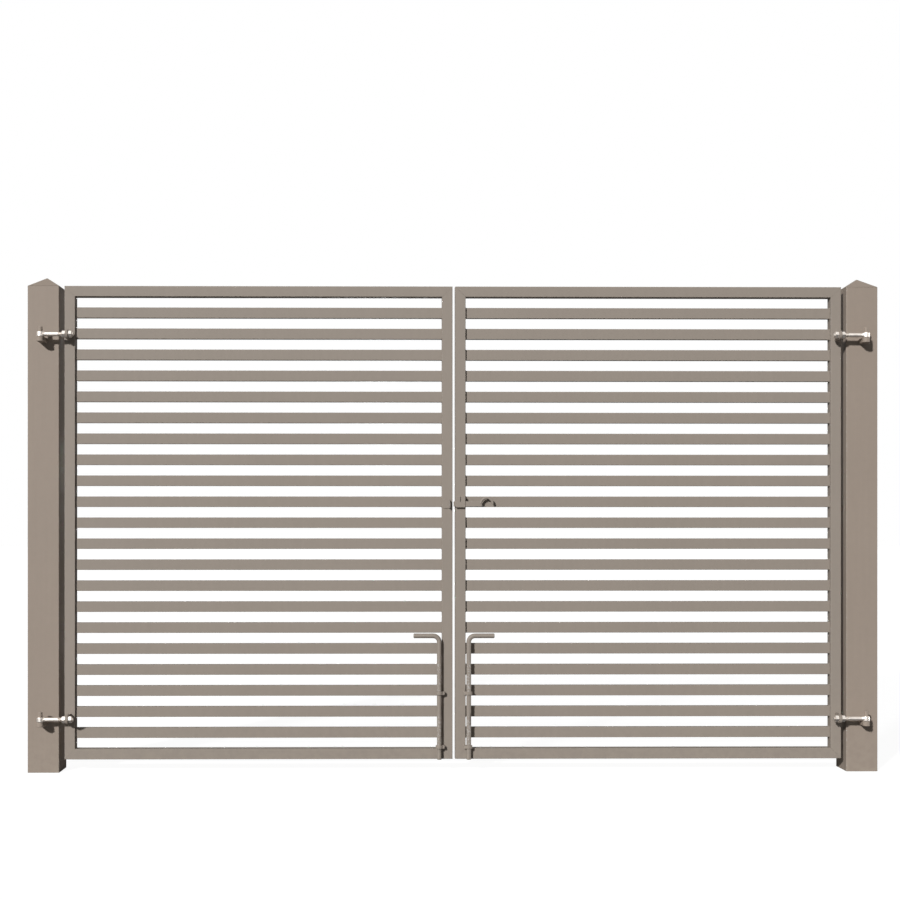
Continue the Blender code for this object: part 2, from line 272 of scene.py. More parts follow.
def add_tube(shape, start, along, length, inward, half_inward, half_depth, radius,
             mitre=0.0, edge=SEAM, end_wear_and_shade=SEAM_GRIME_AND_SHADE):
    """A straight tube with closed ends. A mitre of 1 leans both ends back by 45 degrees. The inset rings at
    both ends carry their own wear value, by default painted shade and grime at the seams.
    """
    depth = along.cross(inward)
    rings = []
    for distance, inset, lean in ((0.0, edge, mitre), (edge, 0.0, mitre),
                                  (length - edge, 0.0, -mitre), (length, edge, -mitre)):
        ring = []
        for u, v, wear_and_shade in rounded_rectangle(half_inward - inset, half_depth - inset, radius):
            set_back = lean * (u + half_inward)
            point = start + along * (distance + set_back) + inward * u + depth * v
            # Inset end rings take the end value: painted shade with grime at seams, or rubbing on latch
            # parts.
            ring.append((point, end_wear_and_shade if inset else wear_and_shade))
        rings.append(ring)
    shape.loft(rings)


def add_turned(shape, profile, origin, axis, sides=ROUND, closed=False):
    """Turn a profile of (radius, height, wear) about an axis. A radius may be a function of the angle."""
    across = X_AXIS if abs(axis.x) < 0.5 else Z_AXIS
    side = axis.cross(across)
    rings = []
    for radius, height, wear_and_shade in profile:
        ring = []
        for i in range(1 if radius == 0 else sides):
            angle = 2 * math.pi * i / sides
            reach = radius(angle) if callable(radius) else radius
            point = origin + axis * height + (across * math.cos(angle) + side * math.sin(angle)) * reach
            ring.append((point, wear_and_shade))
        rings.append(ring)
    shape.loft(rings, closed)


def add_bored_plate(shape, centre, axis_u, axis_v, outline, bore, half_thickness, angles, edge=0.0008):
    """A plate round a bore. The outline gives the distance from the bore's centre at each angle."""
    normal = axis_u.cross(axis_v)
    rings = []
    # Rings at the outer edges are rubbed; rings round the bore hold a negative wear value, painted shade
    # with grime in the bore.
    for height, outer, inset, wear_and_shade in (
        (3 * edge - half_thickness, True, 0.0, 0.0),
        (edge - half_thickness, True, 0.0, 0.8), (-half_thickness, True, edge, 0.8),
        (-half_thickness, True, 3 * edge, 0.0),
        (-half_thickness, False, edge, 0.0), (edge - half_thickness, False, 0.0, -0.5),
        (half_thickness - edge, False, 0.0, -0.5), (half_thickness, False, edge, 0.0),
        (half_thickness, True, 3 * edge, 0.0),
        (half_thickness, True, edge, 0.8), (half_thickness - edge, True, 0.0, 0.8),
        (half_thickness - 3 * edge, True, 0.0, 0.0),
    ):
        ring = []
        for angle in angles:
            reach = outline(angle) - inset if outer else bore + inset
            direction = axis_u * math.cos(angle) + axis_v * math.sin(angle)
            ring.append((centre + direction * reach + normal * height, wear_and_shade))
        rings.append(ring)
    shape.loft(rings, closed=True)


class Path:
    """Straight legs through points, joined by quarter arcs, measured by the distance from the start."""

    def __init__(self, points, bend=0.0):
        points = [Vector(point) for point in points]
        self.parts = []
        self.length = 0.0
        for i in range(len(points) - 1):
            leg = points[i + 1] - points[i]
            direction = leg.normalized()
            start = points[i] + direction * (bend if i > 0 else 0.0)
            trim = (bend if i > 0 else 0.0) + (bend if i < len(points) - 2 else 0.0)
            self.add_part(leg.length - trim, start, direction, direction)
            if i < len(points) - 2:
                onward = (points[i + 2] - points[i + 1]).normalized()
                self.add_part(bend * math.pi / 2, points[i + 1] - direction * bend, direction, onward)

    def add_part(self, length, start, direction, onward):
        self.parts.append((self.length, length, start, direction, onward))
        self.length += length

    def at(self, distance):
        """Point and direction at a distance."""
        for begin, length, start, direction, onward in self.parts:
            if distance <= begin + length or begin + length >= self.length:
                travelled = distance - begin
                if direction == onward:
                    return start + direction * travelled, direction
                radius = length / (math.pi / 2)
                angle = travelled / radius
                point = start + direction * radius * math.sin(angle)
                point += onward * radius * (1 - math.cos(angle))
                return point, direction * math.cos(angle) + onward * math.sin(angle)
        raise ValueError("the path has no parts")


def spread(start, stop, step):
    """Evenly spaced distances from start to just before stop."""
    count = max(1, round((stop - start) / step))
    return [start + (stop - start) * i / count for i in range(count)]


def add_sweep(shape, path, distances, section, normal):
    """Sweep a section along a flat path. The section gives its outline as (u, v, wear) at each distance."""
    rings = []
    for distance in distances:
        point, direction = path.at(distance)
        side = direction.cross(normal)
        rings.append([(point + side * u + normal * v, wear_and_shade) for u, v, wear_and_shade in section(distance)])
    shape.loft(rings)


def round_section(radius_at, sides=ROUND):
    """Section of a round bar. radius_at gives the radius and the wear at a distance and an angle."""
    def section(distance):
        outline = []
        for i in range(sides):
            angle = 2 * math.pi * i / sides
            radius, wear_and_shade = radius_at(distance, angle)
            outline.append((radius * math.cos(angle), radius * math.sin(angle), wear_and_shade))
        return outline
    return section


def rounded_ends(radius, length, edge):
    """Radius along a bar whose two flat ends have a rounded edge."""
    def radius_at(distance):
        short = max(0.0, edge - min(distance, length - distance))
        return radius - edge + math.sqrt(edge ** 2 - short ** 2)
    return radius_at


def bar_distances(length, edge, step):
    """Even distances along a bar, close together at the rounded edges of its ends."""
    rounding = [edge * (1 - math.cos(math.pi / 2 * i / EDGE_STEPS)) for i in range(EDGE_STEPS)]
    middle = spread(edge, length - edge, step) + [length - edge]
    return rounding + middle + [length - distance for distance in reversed(rounding)]


def thread_groove(distance, angle, start, stop):
    """Depth of a helical thread that runs between two distances and fades out at both."""
    fade = min(distance - start, stop - distance) / THREAD_PITCH
    if fade <= 0:
        return 0.0
    turn = distance / THREAD_PITCH - angle / (2 * math.pi)
    return THREAD_DEPTH * min(fade, 1.0) * (0.5 - 0.5 * math.cos(2 * math.pi * turn)) ** 1.5


def bead_ring(point, normal_a, normal_b, reach):
    """One section of a weld bead that fills the corner between two faces."""
    # The root and both toes of the bead hold a negative wear value: painted shade with grime where the bead
    # meets the faces.
    ring = [(point - (normal_a + normal_b) * SEAM, -0.5)]
    for i in range(5):
        angle = math.pi / 2 * i / 4
        wear_and_shade = -0.5 if i in (0, 4) else 0.0
        ring.append((point + (normal_a * math.cos(angle) + normal_b * math.sin(angle)) * reach, wear_and_shade))
    return ring


def ripple(distance):
    return BEAD * (0.86 + 0.14 * abs(math.sin(math.pi * distance / BEAD_RIPPLE)))


def add_bead(shape, start, end, normal_a, normal_b):
    """A straight run of weld in the corner between two faces."""
    length = (end - start).length
    along = (end - start).normalized()
    rings = []
    for distance in spread(0.0, length, BEAD_RIPPLE / 4) + [length]:
        taper = min(1.0, 0.25 + min(distance, length - distance) / BEAD)
        rings.append(bead_ring(start + along * distance, normal_a, normal_b, ripple(distance) * taper))
    shape.loft(rings)


# Materials.


class Finish:
    """A node-based material under construction, for one of the record's material slots."""

    def __init__(self, slot):
        self.material = bpy.data.materials.new(f"{slot}_finish")
        self.material["slot"] = slot
        self.material.use_nodes = True
        self.tree = self.material.node_tree
        self.shader = self.tree.nodes["Principled BSDF"]
        self.place = self.add("ShaderNodeTexCoord").outputs["Object"]

    def add(self, kind, **settings):
        node = self.tree.nodes.new(kind)
        for key, value in settings.items():
            setattr(node, key, value)
        return node

    def feed(self, socket, value):
        if isinstance(value, bpy.types.NodeSocket):
            self.tree.links.new(value, socket)
        else:
            socket.default_value = value

    def noise(self, scale, detail=2.0, stretch=(1, 1, 1)):
        """Noise between about 0.3 and 0.7, with scale in features per metre."""
        mapping = self.add("ShaderNodeMapping")
        self.feed(mapping.inputs["Vector"], self.place)
        mapping.inputs["Scale"].default_value = stretch
        noise = self.add("ShaderNodeTexNoise")
        self.feed(noise.inputs["Vector"], mapping.outputs["Vector"])
        noise.inputs["Scale"].default_value = scale
        noise.inputs["Detail"].default_value = detail
        return noise.outputs["Fac"]

    def cells(self, scale):
        """A random value for each cell of a crystal pattern."""
        voronoi = self.add("ShaderNodeTexVoronoi")
        self.feed(voronoi.inputs["Vector"], self.place)
        voronoi.inputs["Scale"].default_value = scale
        value = self.add("ShaderNodeSeparateColor")
        self.feed(value.inputs["Color"], voronoi.outputs["Color"])
        return value.outputs["Red"]

    def height(self):
        split = self.add("ShaderNodeSeparateXYZ")
        self.feed(split.inputs["Vector"], self.place)
        return split.outputs["Z"]

    # The wear attribute: positive where rubbed, negative where painted shade and grime darken the surface.
    def wear_and_shade(self):
        return self.add("ShaderNodeAttribute", attribute_name="wear_and_shade").outputs["Fac"]

    def remap(self, value, low, high, out_low=0.0, out_high=1.0):
        node = self.add("ShaderNodeMapRange")
        for socket, number in zip(node.inputs, (value, low, high, out_low, out_high)):
            self.feed(socket, number)
        return node.outputs["Result"]

    def maths(self, operation, first, second):
        node = self.add("ShaderNodeMath", operation=operation)
        self.feed(node.inputs[0], first)
        self.feed(node.inputs[1], second)
        return node.outputs["Value"]

    def mix(self, factor, first, second):
        node = self.add("ShaderNodeMix", data_type="RGBA")
        self.feed(node.inputs["Factor"], factor)
        self.feed(node.inputs["A"], first if isinstance(first, bpy.types.NodeSocket) else (*first, 1.0))
        self.feed(node.inputs["B"], second if isinstance(second, bpy.types.NodeSocket) else (*second, 1.0))
        return node.outputs["Result"]

    def bump(self, height, distance, strength=1.0, normal=None):
        node = self.add("ShaderNodeBump")
        node.inputs["Strength"].default_value = strength
        node.inputs["Distance"].default_value = distance
        self.feed(node.inputs["Height"], height)
        if normal:
            self.feed(node.inputs["Normal"], normal)
        return node.outputs["Normal"]


def shade(colour, factor):
    return tuple(channel * factor for channel in colour)


def powder_coat(slot, colour, roughness, worn_colour):
    """Satin powder coat with orange peel, faint mottling, rain streaks, low dust, rubbed edges and painted
    shade with grime in seams and recesses.
    """
    finish = Finish(slot)
    patches = finish.noise(1.9, 4.0)
    mottling = finish.noise(48.0, 3.0)
    streaks = finish.noise(1.0, 3.0, (70.0, 70.0, 2.4))
    tone = finish.maths("ADD", finish.remap(patches, 0.3, 0.7, 0.0, 0.45),
                        finish.remap(mottling, 0.3, 0.7, 0.0, 0.25))
    tone = finish.maths("ADD", tone, finish.remap(streaks, 0.3, 0.7, 0.0, 0.3))
    coat = finish.mix(tone, shade(colour, 0.955), shade(colour, 1.045))

    wear_and_shade = finish.wear_and_shade()
    low = finish.remap(finish.height(), 0.0, 0.32, 1.0, 0.0)
    dust = finish.maths("MULTIPLY", finish.maths("MULTIPLY", low, low), finish.remap(mottling, 0.38, 0.62))
    coat = finish.mix(finish.maths("MULTIPLY", dust, 0.3), coat, (0.33, 0.285, 0.23))
    # Painted shade with grime: a darker copy of the paint where the wear value is negative, in seams, bores
    # and recesses.
    grime_and_shade = finish.maths("MULTIPLY", finish.remap(wear_and_shade, 0.0, -1.0), 0.7)
    coat = finish.mix(grime_and_shade, coat, shade(colour, 0.35))
    chips = finish.noise(210.0, 4.0)
    rubbed = finish.maths("MULTIPLY", finish.remap(wear_and_shade, 0.15, 1.0), finish.remap(chips, 0.54, 0.6))
    coat = finish.mix(finish.maths("MULTIPLY", rubbed, 0.55), coat, worn_colour)
    finish.feed(finish.shader.inputs["Base Color"], coat)

    sheen = finish.remap(patches, 0.3, 0.7, roughness - 0.04, roughness + 0.05)
    sheen = finish.maths("ADD", sheen, finish.maths("MULTIPLY", dust, 0.2))
    sheen = finish.maths("SUBTRACT", sheen, finish.maths("MULTIPLY", rubbed, 0.08))
    finish.feed(finish.shader.inputs["Roughness"], sheen)

    finish.shader.inputs["Specular IOR Level"].default_value = 0.25
    orange_peel = finish.bump(finish.noise(420.0, 2.0), 0.00022, 0.6)
    finish.feed(finish.shader.inputs["Normal"], finish.bump(chips, 0.0001, 0.25, orange_peel))
    return finish.material


def zinc_plate(slot, colour):
    """Satin zinc plating: crystal patches, fine draw marks and painted shade with dull grime in the
    threads.
    """
    finish = Finish(slot)
    crystals = finish.cells(330.0)
    clouds = finish.noise(65.0, 4.0)
    tone = finish.maths("ADD", finish.maths("MULTIPLY", crystals, 0.4),
                        finish.maths("MULTIPLY", clouds, 0.6))
    plate = finish.mix(tone, shade(colour, 0.93), shade(colour, 1.05))
    wear_and_shade = finish.wear_and_shade()
    # Painted shade with grime: a darker copy of the plating in the thread grooves and bores.
    grime_and_shade = finish.remap(wear_and_shade, 0.0, -1.0, 0.0, 0.6)
    finish.feed(finish.shader.inputs["Base Color"], finish.mix(grime_and_shade, plate, shade(colour, 0.3)))
    polish = finish.remap(clouds, 0.3, 0.7, 0.44, 0.58)
    polish = finish.maths("ADD", polish, finish.maths("MULTIPLY", grime_and_shade, 0.3))
    finish.feed(finish.shader.inputs["Roughness"], polish)
    finish.shader.inputs["Metallic"].default_value = 1.0
    draw_marks = finish.bump(finish.noise(1.0, 2.0, (90.0, 900.0, 900.0)), 0.00006, 0.35)
    grain = finish.bump(finish.noise(700.0, 2.0), 0.00008, 0.4, draw_marks)
    finish.feed(finish.shader.inputs["Normal"], grain)
    return finish.material


# Posts and caps.


def square_rings(centre, levels):
    """Rounded square rings about a vertical axis, from (half width, height, corner radius, wear) levels."""
    rings = []
    for half, height, radius, wear_and_shade in levels:
        origin = Vector((centre.x, centre.y, height))
        if half == 0:
            rings.append([(origin, wear_and_shade)])
            continue
        outline = rounded_rectangle(half, half, radius, 6)
        rings.append([(origin + X_AXIS * u + Y_AXIS * v, wear_and_shade or worn) for u, v, worn in outline])
    return rings


def build_post(prefix, paint):
    """A square tube, open at both ends, with rounded edges."""
    low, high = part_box(f"{prefix}_post")
    outer = (high.x - low.x) / 2
    inner = outer - POST_WALL
    inner_corner = POST_CORNER - POST_WALL
    shape = Shape()
    # The rings at both ends of the tube hold negative wear values: painted shade with grime at the ends and
    # inside.
    shape.loft(square_rings((low + high) / 2, (
        (outer - SEAM, low.z, POST_CORNER, -0.7),
        (outer, low.z + SEAM, POST_CORNER, 0.0),
        (outer, high.z - SEAM, POST_CORNER, 0.0),
        (outer - SEAM, high.z, POST_CORNER, -0.3),
        (inner, high.z, inner_corner, -0.3),
        (inner, low.z, inner_corner, -0.7),
    )), closed=True)
    finish_piece(shape, f"{prefix}_post_tube", paint, "posts", f"{prefix}_post")


def build_cap(prefix, paint):
    """A hollow pyramid with a plug that fits inside the post."""
    low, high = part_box(f"{prefix}_post_cap")
    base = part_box(f"{prefix}_post")[1].z + GAP
    outer = (high.x - low.x) / 2
    plug = outer - POST_WALL - GAP
    snub_height = high.z - (high.z - base) * CAP_SNUB / outer
    inner_corner = POST_CORNER - POST_WALL
    shape = Shape()
    shape.loft(square_rings((low + high) / 2, (
        (0, high.z - CAP_SHELL, 0, 0.0),
        (plug - POST_WALL, base, inner_corner, 0.0),
        (plug - POST_WALL, low.z, inner_corner, 0.0),
        (plug, low.z, inner_corner, 0.0),
        # The plug and the base ring hold a negative wear value: painted shade with grime at the joint with
        # the post.
        (plug, base, inner_corner, -0.3),
        (outer - CAP_EDGE, base, POST_CORNER, -0.3),
        (outer, base + CAP_EDGE, POST_CORNER, 0.0),
        (outer - CAP_EDGE, base + 2 * CAP_EDGE, POST_CORNER, 0.0),
        (CAP_SNUB, snub_height, CAP_SNUB / 2, 0.0),
        (CAP_SNUB / 2, snub_height + CAP_SNUB / 4, CAP_SNUB / 4, 0.9),
        (0, snub_height + CAP_SNUB / 3, 0, 0.9),
    )))
    finish_piece(shape, f"{prefix}_post_cap_shell", paint, "posts", f"{prefix}_post_cap")


# Leaves.


def leaf_box(prefix):
    """Outline of a leaf's frame, without the lugs and guides that stand in front of it."""
    low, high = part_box(f"{prefix}_leaf_frame")
    return Vector((low.x, FRONT_Y, low.z)), high


def build_leaf_tubes(prefix, side, paint):
    """Two stiles and two rails, mitred at the corners, with weep holes under the bottom rail."""
    low, high = leaf_box(prefix)
    half = TUBE / 2
    outer_x, inner_x = (low.x, high.x) if side < 0 else (high.x, low.x)
    inward = X_AXIS * -side
    width = high.x - low.x
    height = high.z - low.z
    tubes = (
        ("hinge_stile", Vector((outer_x - side * half, TUBE_Y, low.z)), Z_AXIS, height, inward),
        ("meeting_stile", Vector((inner_x + side * half, TUBE_Y, low.z)), Z_AXIS, height, -inward),
        ("top_rail", Vector((low.x, TUBE_Y, high.z - half)), X_AXIS, width, -Z_AXIS),
        ("bottom_rail", Vector((low.x, TUBE_Y, low.z + half)), X_AXIS, width, Z_AXIS),
    )
    for name, start, along, length, towards_middle in tubes:
        shape = Shape()
        add_tube(shape, start, along, length, towards_middle, half, half, FRAME_CORNER, mitre=1.0)
        if name == "bottom_rail":
            for x in (low.x + WEEP_HOLE_INSET, high.x - WEEP_HOLE_INSET):
                hole = Shape()
                # The inner end of each hole holds the lowest wear value: painted shade inside the hole.
                profile = ((WEEP_HOLE_RADIUS, -half, 0.0), (WEEP_HOLE_RADIUS, half / 2, -1.0))
                add_turned(hole, profile, Vector((x, TUBE_Y, low.z)), Z_AXIS)
                shape.carve(hole)
        finish_piece(shape, f"{prefix}_leaf_{name}", paint, f"{prefix}_leaf", f"{prefix}_leaf_frame")


def build_slats(prefix, paint):
    """Rounded rectangular bars between the stiles, welded at both ends behind, above and below."""
    leaf_low, leaf_high = leaf_box(prefix)
    corner = SLAT_CORNER
    for i in range(1, SLAT_COUNT + 1):
        node = f"{prefix}_slat_{i:02d}"
        low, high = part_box(node)
        low.x = leaf_low.x + TUBE
        high.x = leaf_high.x - TUBE
        middle = (low + high) / 2
        start = Vector((low.x, middle.y, middle.z))
        half_height = (high.z - low.z) / 2
        half_depth = (high.y - low.y) / 2
        shape = Shape()
        add_tube(shape, start, X_AXIS, high.x - low.x, Z_AXIS, half_height, half_depth, corner)
        for x, away in ((low.x, X_AXIS), (high.x, -X_AXIS)):
            foot = Vector((x, high.y, low.z + corner))
            add_bead(shape, foot, Vector((x, high.y, high.z - corner)), away, Y_AXIS)
            for z, normal in ((low.z, -Z_AXIS), (high.z, Z_AXIS)):
                front = Vector((x, low.y + corner, z))
                add_bead(shape, front, Vector((x, high.y - corner, z)), away, normal)
        finish_piece(shape, f"{node}_bar", paint, f"{prefix}_leaf", node)


def lug_outline(angle):
    """Distance from the lug's bore to its edge; angle 0 points back to the stile."""
    if math.cos(angle) <= 0:
        return LUG_RADIUS
    straight_edge = LUG_RADIUS / max(abs(math.sin(angle)), TINY)
    return min(straight_edge, (HINGE_REACH + SEAM) / math.cos(angle))


def lug_angles():
    """Even angles, and the two at which the lug's straight edges meet the stile."""
    corner = math.atan2(LUG_RADIUS, HINGE_REACH + SEAM)
    even = [2 * math.pi * i / LUG_SIDES - math.pi + LUG_OFFSET for i in range(LUG_SIDES)]
    return sorted(even + [corner, -corner])


def lug_x(prefix, side):
    low, high = leaf_box(prefix)
    return (low.x if side < 0 else high.x) - side * TUBE / 2


def eye_height(prefix, level):
    low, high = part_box(f"{prefix}_{level}_hinge_eye")
    return (low.z + high.z) / 2


def build_lugs(prefix, side, paint, welds):
    """Plates with a round end that stand on the outer stile and hold the eye bolts."""
    half = LUG_THICKNESS / 2
    for level in LEVELS:
        axis = HINGE_AXES[f"{prefix}_leaf"]
        centre = Vector((lug_x(prefix, side), axis.y, eye_height(prefix, level)))
        shape = Shape()
        add_bored_plate(shape, centre, Y_AXIS, Z_AXIS, lug_outline, BORE_RADIUS, half, lug_angles())
        name = f"{prefix}_{level}_hinge_lug"
        finish_piece(shape, name, paint, f"{prefix}_leaf", f"{prefix}_leaf_frame")
        for across in (-1, 1):
            x = centre.x + across * half
            root = Vector((x, FRONT_Y, centre.z - LUG_RADIUS + SEAM))
            top = Vector((x, FRONT_Y, centre.z + LUG_RADIUS - SEAM))
            add_bead(welds, root, top, X_AXIS * across, -Y_AXIS)


def guide_outline(angle):
    """Distance from the guide's bore to its edge; angle 0 points along the arm, 90 degrees backwards."""
    ray_u = math.cos(angle)
    ray_v = math.sin(angle)
    if ray_u <= 0:
        return GUIDE_RADIUS
    depth = GUIDE_RADIUS + SEAM if ray_v > 0 else GUIDE_ARM_FRONT
    arm_edge = min(GUIDE_ARM_REACH / ray_u, depth / max(abs(ray_v), TINY))
    return max(GUIDE_RADIUS, arm_edge)


def build_guides(prefix, side, paint, welds):
    """Eyes that carry the drop bolt, each on a short arm welded to the meeting stile."""
    bolt_low, bolt_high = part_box(f"{prefix}_drop_bolt")
    y = (bolt_low.y + bolt_high.y) / 2
    bolt_radius = (bolt_high.y - bolt_low.y) / 2
    bore = bolt_radius + GAP
    half = GUIDE_THICKNESS / 2
    x = bolt_low.x + bolt_radius if side > 0 else bolt_high.x - bolt_radius
    arm_end = x - side * GUIDE_ARM_REACH
    leaf_low, leaf_high = leaf_box(prefix)
    stile_edge = leaf_low.x + TUBE if side > 0 else leaf_high.x - TUBE
    angles = [2 * math.pi * i / GUIDE_SIDES + GUIDE_OFFSET for i in range(GUIDE_SIDES)]
    for level, height in GUIDE_HEIGHTS.items():
        shape = Shape()
        centre = Vector((x, y, height))
        add_bored_plate(shape, centre, X_AXIS * -side, Y_AXIS, guide_outline, bore, half, angles)
        name = f"{prefix}_{level}_bolt_guide"
        finish_piece(shape, name, paint, f"{prefix}_leaf", f"{prefix}_leaf_frame")
        for facing in (-1, 1):
            z = height + facing * half
            start = Vector((arm_end, FRONT_Y, z))
            end = Vector((stile_edge - side * FRAME_CORNER, FRONT_Y, z))
            add_bead(welds, start, end, Z_AXIS * facing, -Y_AXIS)


# Hinges.


def hexagon(angle):
    """Distance from a nut's axis to its flat at an angle."""
    return NUT_FLAT / math.cos((angle + math.pi / 6) % (math.pi / 3) - math.pi / 6)


def chamfered_hexagon(end_distance):
    """The nut's outline near an end, where a cone trims its corners."""
    cone = NUT_FLAT * NUT_FACE + end_distance * math.sqrt(3)
    return lambda angle: min(hexagon(angle), cone)


def build_nut(name, face_point, outward, zinc, body, node):
    """A hexagon nut with chamfered corners, clamped on a face."""
    chamfer = [NUT_CHAMFER * i / 4 for i in range(5)]
    mouth = BOLT_RADIUS + NUT_RECESS
    far = GAP + NUT_HEIGHT
    # The mouth of the bore holds negative wear values: painted shade with grime in the recess.
    profile = [(BOLT_RADIUS, GAP + NUT_RECESS, -0.9), (mouth, GAP, -0.5)]
    profile += [(chamfered_hexagon(step), GAP + step, 0.0) for step in chamfer]
    profile += [(chamfered_hexagon(step), far - step, 0.0) for step in reversed(chamfer)]
    profile += [(mouth, far, -0.5), (BOLT_RADIUS, far - NUT_RECESS, -0.9)]
    nut = Shape()
    add_turned(nut, profile, face_point, outward, NUT_SIDES, closed=True)
    finish_piece(nut, f"{name}_nut", zinc, body, node)


def build_pin(prefix, level, paint):
    """A thick bracket with a round nose, welded to the post, with the hinge pin standing on it."""
    node = f"{prefix}_{level}_hinge_pin"
    low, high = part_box(node)
    axis = HINGE_AXES[f"{prefix}_leaf"]
    radius = (high.x - low.x) / 2
    seat = low.z + BRACKET_HEIGHT
    edge = BRACKET_EDGE
    shape = Shape()
    rings = []
    for height, inset in ((low.z, edge), (low.z + edge, 0.0), (seat - edge, 0.0), (seat, edge)):
        wear_and_shade = 0.6 if inset else 0.0
        reach = radius - inset
        ring = [(Vector((axis.x + across * reach, FRONT_Y, height)), 0.0) for across in (1, -1)]
        for i in range(ROUND + 1):
            angle = math.pi * (1 + i / ROUND)
            x = axis.x + reach * math.cos(angle)
            ring.append((Vector((x, axis.y + reach * math.sin(angle), height)), wear_and_shade))
        rings.append(ring)
    shape.loft(rings)
    path = Path([(axis.x, axis.y, seat - edge), (axis.x, axis.y, high.z)])
    pin_radius = rounded_ends(BOLT_RADIUS, path.length, PIN_EDGE)

    def radius_at(distance, angle):
        return pin_radius(distance), 0.8 if distance > path.length - PIN_EDGE else 0.0

    distances = bar_distances(path.length, PIN_EDGE, BAR_STEP)
    add_sweep(shape, path, distances, round_section(radius_at), X_AXIS)
    for across in (-1, 1):
        x = axis.x + across * radius
        add_bead(shape, Vector((x, FRONT_Y, low.z)), Vector((x, FRONT_Y, seat)), X_AXIS * across, -Y_AXIS)
    for z, normal in ((low.z, -Z_AXIS), (seat, Z_AXIS)):
        start = Vector((axis.x - radius, FRONT_Y, z))
        add_bead(shape, start, Vector((axis.x + radius, FRONT_Y, z)), normal, -Y_AXIS)
    finish_piece(shape, f"{node}_bracket", paint, "posts", node)


def eye_profile():
    """Half section of the forged ring as (radius, height, wear), from the bore's foot outwards and up."""
    half = EYE_HEIGHT / 2
    edge = EYE_EDGE
    lower = [
        # The foot of the bore holds a negative wear value: painted shade with grime.
        (BORE_RADIUS, edge - half, -0.4),
        (BORE_RADIUS + edge, -half, 0.0),
        (EYE_RADIUS - 2 * edge, -half, 0.0),
        (EYE_RADIUS - 0.8 * edge, 0.4 * edge - half, 0.3),
        (EYE_RADIUS - 0.2 * edge, 1.4 * edge - half, 0.3),
        (EYE_RADIUS, 3 * edge - half, 0.0),
    ]
    return lower + [(radius, -height, wear_and_shade) for radius, height, wear_and_shade in reversed(lower)]


def build_eye(prefix, side, level, zinc):
    """A forged ring round the hinge pin with a threaded shank through the leaf's lug."""
    node = f"{prefix}_{level}_hinge_eye"
    low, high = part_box(node)
    axis = HINGE_AXES[f"{prefix}_leaf"]
    centre = Vector((axis.x, axis.y, eye_height(prefix, level)))
    shape = Shape()
    add_turned(shape, eye_profile(), centre, Z_AXIS, EYE_SIDES, closed=True)

    inward = X_AXIS * -side
    shank_start = centre + inward * (BORE_RADIUS + SHANK_INSET)
    shank_end = Vector((high.x if side < 0 else low.x, axis.y, centre.z))
    path = Path([shank_start, shank_end])
    thread_start = path.length - THREAD_LENGTH

    def radius_at(distance, angle):
        groove = thread_groove(distance, angle, thread_start, path.length + THREAD_PITCH)
        flare = FLARE * max(0.0, 1 - distance / FLARE_LENGTH) ** 2
        end_loss = max(0.0, distance - (path.length - SHANK_CHAMFER))
        # The thread grooves hold negative wear values: painted shade with grime in the grooves.
        return BOLT_RADIUS + flare - groove - end_loss, -groove / THREAD_DEPTH

    distances = spread(0.0, FLARE_LENGTH, FLARE_LENGTH / 10)
    distances += spread(FLARE_LENGTH, thread_start, SHANK_STEP)
    distances += spread(thread_start, path.length, THREAD_PITCH / 6) + [path.length]
    add_sweep(shape, path, distances, round_section(radius_at), Z_AXIS)
    finish_piece(shape, f"{node}_bolt", zinc, f"{prefix}_leaf", node)
    for name, outward in (("inner", -side), ("outer", side)):
        face_point = Vector((lug_x(prefix, side) + outward * LUG_THICKNESS / 2, axis.y, centre.z))
        build_nut(f"{node}_{name}", face_point, X_AXIS * outward, zinc, f"{prefix}_leaf", node)


# Drop bolts.


def build_drop_bolt(prefix, side, paint):
    """Round bar bent over at the top into a handle, rubbed where it runs in the guides."""
    node = f"{prefix}_drop_bolt"
    low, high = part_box(node)
    radius = (high.y - low.y) / 2
    y = (low.y + high.y) / 2
    shaft_x, handle_x = (low.x + radius, high.x) if side > 0 else (high.x - radius, low.x)
    handle_z = high.z - radius
    path = Path([(shaft_x, y, low.z), (shaft_x, y, handle_z), (handle_x, y, handle_z)], DROP_BEND)
    end_radius = rounded_ends(radius, path.length, DROP_EDGE)

    def radius_at(distance, angle):
        wear_and_shade = 0.0
        for height in GUIDE_HEIGHTS.values():
            middle = height - low.z + DROP_TRAVEL / 2
            beyond = max(0.0, abs(distance - middle) / DROP_TRAVEL - 0.4)
            wear_and_shade = max(wear_and_shade, 0.9 - 1.6 * beyond ** 0.5)
        if min(distance, path.length - distance) < DROP_EDGE:
            wear_and_shade = 0.8
        return end_radius(distance), wear_and_shade

    shape = Shape()
    distances = bar_distances(path.length, DROP_EDGE, BAR_STEP)
    add_sweep(shape, path, distances, round_section(radius_at), Y_AXIS)
    finish_piece(shape, f"{node}_bar", paint, node, node)


# Latch.


def latch_section(low_x, high_x, clearance=0.0):
    """A length of the flat latch bar, or of the slot for it when there is a clearance."""
    low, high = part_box("latch_bolt")
    y = (low.y + high.y) / 2
    start = Vector((low_x, y, low.z + BAR_HEIGHT / 2))
    half_height = BAR_HEIGHT / 2 + clearance
    half_depth = BAR_THICKNESS / 2 + clearance
    section = Shape()
    add_tube(section, start, X_AXIS, high_x - low_x, Z_AXIS, half_height, half_depth, LATCH_CORNER,
             edge=LATCH_EDGE, end_wear_and_shade=0.8)
    return section


